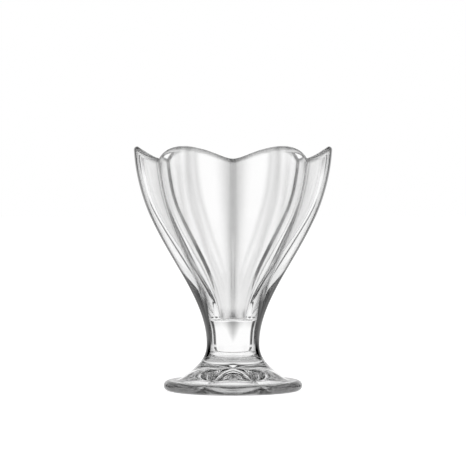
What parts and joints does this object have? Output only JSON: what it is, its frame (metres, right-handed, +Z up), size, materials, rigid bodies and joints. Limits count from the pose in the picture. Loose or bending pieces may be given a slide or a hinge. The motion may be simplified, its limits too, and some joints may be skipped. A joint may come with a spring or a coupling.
{
  "type": "parfait glass",
  "caption": "Clear pressed parfait glass: a petalled bowl with a scalloped rim on a short solid stem and a round hollow foot.",
  "frame": {"origin": "centre of the ring that the glass stands on, in the table plane", "axes": "+Z up along the glass's axis, -Y towards the groove between two petals that faces the viewer, +X to the right through a petal tip"},
  "size_m": [0.0998, 0.093, 0.123],
  "materials": {
    "clear_glass": "fire-polished, clear"
  },
  "bodies": {
    "root": {"bowl": "clear_glass", "stem": "clear_glass", "foot": "clear_glass"}
  },
  "joints": []
}
